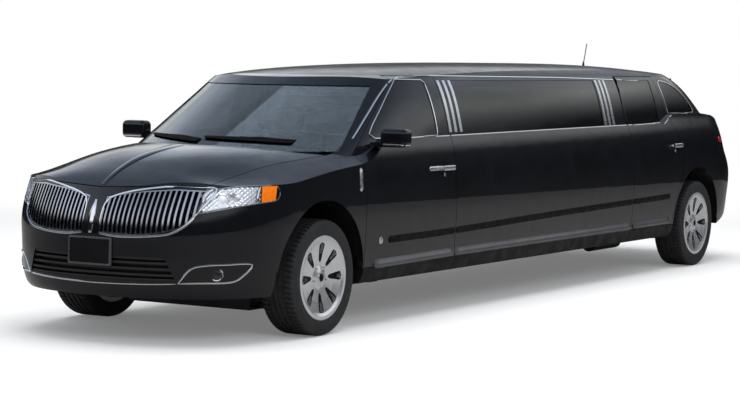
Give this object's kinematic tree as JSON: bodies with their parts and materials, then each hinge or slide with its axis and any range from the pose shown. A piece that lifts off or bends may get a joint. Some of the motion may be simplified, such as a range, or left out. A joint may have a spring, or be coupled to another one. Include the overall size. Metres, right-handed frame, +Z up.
{
  "type": "stretch limousine",
  "caption": "Stretch limousine on a crossover wagon body, with opening doors, hood and tailgate, steered front wheels and a long glazed saloon.",
  "frame": {"origin": "on the ground, on the centre line, halfway between the front and the rear end", "axes": "+Z up, the front of the car towards -Y, the car's left side towards +X"},
  "size_m": [2.324, 8.4333, 1.9206],
  "materials": {
    "body_paint": "deep gloss black",
    "bright_trim": "bright",
    "black_plastic": "satin black",
    "clear_lamp": "clear",
    "amber_lamp": "amber lens",
    "red_lamp": "red lens",
    "windscreen_glass": "lightly tinted",
    "dark_glass": "dark tinted",
    "tyre_rubber": "black rubber",
    "wheel_alloy": "silver painted alloy",
    "floor_steel": "black underseal",
    "cast_metal": "as cast",
    "seat_leather": "black leather"
  },
  "bodies": {
    "root": {"roof_panel": "body_paint", "screen_frame": "body_paint", "stretch_sides": "body_paint", "fenders": "body_paint", "front_bumper": "body_paint", "quarter_panels": "body_paint", "rear_bumper": "body_paint", "grille": "bright_trim", "pillar_bars": "bright_trim", "grille_inserts": "black_plastic", "cowl": "black_plastic", "wipers": "black_plastic", "antenna": "black_plastic", "dashboard": "black_plastic", "headlamps": "clear_lamp", "fog_lamps": "clear_lamp", "marker_lamps": "amber_lamp", "tail_lamps": "red_lamp", "windscreen": "windscreen_glass", "side_windows": "dark_glass", "floor_pan": "floor_steel", "fuel_tank": "floor_steel", "exhaust": "floor_steel", "rear_axle": "floor_steel", "front_subframe": "floor_steel", "partition": "floor_steel", "engine_block": "cast_metal", "front_seats": "seat_leather", "lounge_seats": "seat_leather"},
    "door_front_left": {"door_front_left": "body_paint", "door_glass_front_left": "dark_glass"},
    "door_front_right": {"door_front_right": "body_paint", "door_glass_front_right": "dark_glass"},
    "door_rear_left": {"door_rear_left": "body_paint", "door_glass_rear_left": "dark_glass"},
    "door_rear_right": {"door_rear_right": "body_paint", "door_glass_rear_right": "dark_glass"},
    "hood": {"hood": "body_paint"},
    "tailgate": {"tailgate": "body_paint", "tailgate_glass": "dark_glass"},
    "knuckle_left": {"knuckle_left": "cast_metal"},
    "knuckle_right": {"knuckle_right": "cast_metal"},
    "steering_wheel": {"steering_wheel": "black_plastic"},
    "wheel_front_left": {"tyre_front_left": "tyre_rubber", "rim_front_left": "wheel_alloy"},
    "wheel_front_right": {"tyre_front_right": "tyre_rubber", "rim_front_right": "wheel_alloy"},
    "wheel_rear_left": {"tyre_rear_left": "tyre_rubber", "rim_rear_left": "wheel_alloy"},
    "wheel_rear_right": {"tyre_rear_right": "tyre_rubber", "rim_rear_right": "wheel_alloy"}
  },
  "joints": [
    {"name": "steer_left", "type": "hinge", "parent": "root", "child": "knuckle_left", "pos_m": [0.76, -3.0665, 0.37], "axis": [0, 0, 1], "range_deg": [-34, 34]},
    {"name": "steer_right", "type": "hinge", "parent": "root", "child": "knuckle_right", "pos_m": [-0.76, -3.0665, 0.37], "axis": [0, 0, 1], "range_deg": [-34, 34]},
    {"name": "wheel_front_left_spin", "type": "hinge", "parent": "knuckle_left", "child": "wheel_front_left", "pos_m": [0.832, -3.0665, 0.37], "axis": [1, 0, 0], "continuous": true},
    {"name": "wheel_front_right_spin", "type": "hinge", "parent": "knuckle_right", "child": "wheel_front_right", "pos_m": [-0.832, -3.0665, 0.37], "axis": [1, 0, 0], "continuous": true},
    {"name": "wheel_rear_left_spin", "type": "hinge", "parent": "root", "child": "wheel_rear_left", "pos_m": [0.832, 2.9765, 0.37], "axis": [1, 0, 0], "continuous": true},
    {"name": "wheel_rear_right_spin", "type": "hinge", "parent": "root", "child": "wheel_rear_right", "pos_m": [-0.832, 2.9765, 0.37], "axis": [1, 0, 0], "continuous": true},
    {"name": "door_front_left_swing", "type": "hinge", "parent": "root", "child": "door_front_left", "pos_m": [0.905, -2.5135, 0.8], "axis": [0, 0, -1], "range_deg": [0, 65]},
    {"name": "door_front_right_swing", "type": "hinge", "parent": "root", "child": "door_front_right", "pos_m": [-0.905, -2.5135, 0.8], "axis": [0, 0, 1], "range_deg": [0, 65]},
    {"name": "door_rear_left_swing", "type": "hinge", "parent": "root", "child": "door_rear_left", "pos_m": [0.905, 1.6765, 0.8], "axis": [0, 0, -1], "range_deg": [0, 65]},
    {"name": "door_rear_right_swing", "type": "hinge", "parent": "root", "child": "door_rear_right", "pos_m": [-0.905, 1.6765, 0.8], "axis": [0, 0, 1], "range_deg": [0, 65]},
    {"name": "hood_lift", "type": "hinge", "parent": "root", "child": "hood", "pos_m": [0, -2.7165, 1.072], "axis": [-1, 0, 0], "range_deg": [0, 50]},
    {"name": "tailgate_lift", "type": "hinge", "parent": "root", "child": "tailgate", "pos_m": [0, 3.0235, 1.618], "axis": [1, 0, 0], "range_deg": [0, 75]},
    {"name": "steering_wheel_turn", "type": "hinge", "parent": "root", "child": "steering_wheel", "pos_m": [0.4, -2.1365, 1], "axis": [0, 0.9063, 0.4226], "range_deg": [-510, 510]}
  ],
  "couplings": [
    {"joint": "steer_right", "follows": "steer_left", "ratio": 1},
    {"joint": "steering_wheel_turn", "follows": "steer_left", "ratio": 15}
  ]
}
